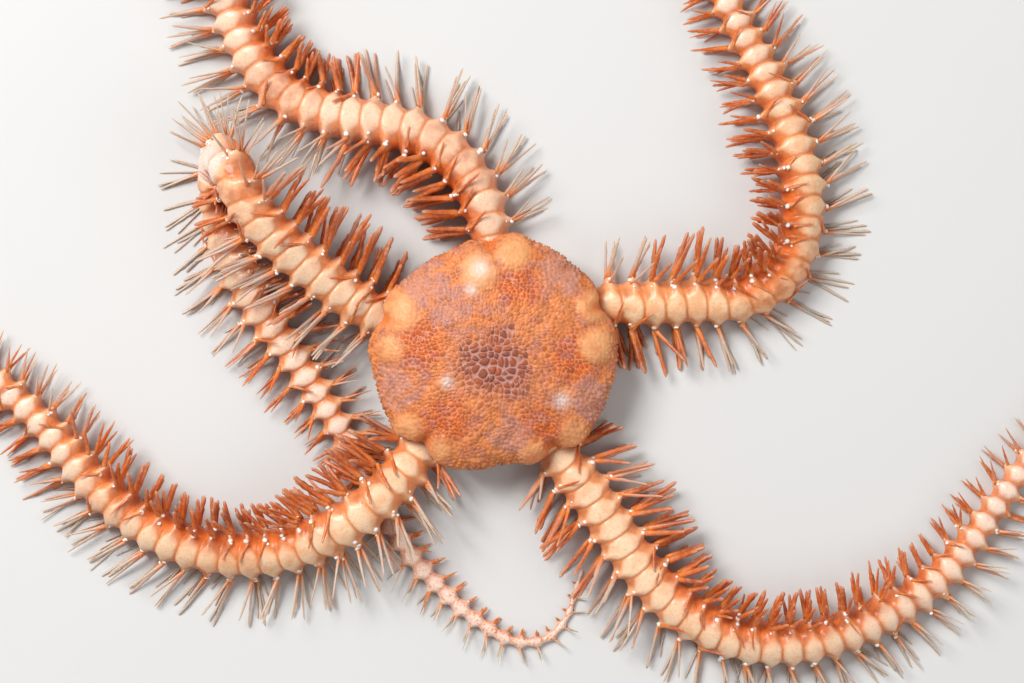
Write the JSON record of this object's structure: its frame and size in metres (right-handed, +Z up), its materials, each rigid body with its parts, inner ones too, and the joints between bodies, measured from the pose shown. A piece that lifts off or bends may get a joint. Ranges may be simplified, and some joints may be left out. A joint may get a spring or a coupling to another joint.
{
  "type": "brittle star",
  "caption": "Brittle star at life size, resting on its oral side, with five long arms curved about it, one folded back under itself, and fans of spines along them.",
  "frame": {"origin": "middle of the box round the whole animal, at the height of the floor that it rests on", "axes": "+Z up out of the disc's upper face, +X to the right and +Y away from the viewer as in the picture"},
  "size_m": [0.1382, 0.0964, 0.0142],
  "materials": {
    "disc_skin": "finely granulated skin, matt and slightly moist",
    "arm_plates": "smooth limy plates with thin orange skin between, and rough amber spines",
    "jaw_plates": "pale limy plates"
  },
  "bodies": {
    "root": {"arm_east_base": "arm_plates", "arm_east_lower": "arm_plates", "arm_east_middle": "arm_plates", "arm_east_outer": "arm_plates", "arm_east_tip": "arm_plates", "arm_north_base": "arm_plates", "arm_north_lower": "arm_plates", "arm_north_middle": "arm_plates", "arm_north_outer": "arm_plates", "arm_north_tip": "arm_plates", "arm_south_east_base": "arm_plates", "arm_south_east_lower": "arm_plates", "arm_south_east_middle": "arm_plates", "arm_south_east_outer": "arm_plates", "arm_south_east_tip": "arm_plates", "arm_south_west_base": "arm_plates", "arm_south_west_lower": "arm_plates", "arm_south_west_middle": "arm_plates", "arm_south_west_outer": "arm_plates", "arm_south_west_tip": "arm_plates", "arm_west_base": "arm_plates", "arm_west_end": "arm_plates", "arm_west_lower": "arm_plates", "arm_west_middle": "arm_plates", "arm_west_outer": "arm_plates", "arm_west_tip": "arm_plates", "disc": "disc_skin", "jaw_1": "jaw_plates", "jaw_2": "jaw_plates", "jaw_3": "jaw_plates", "jaw_4": "jaw_plates", "jaw_5": "jaw_plates"}
  },
  "joints": []
}
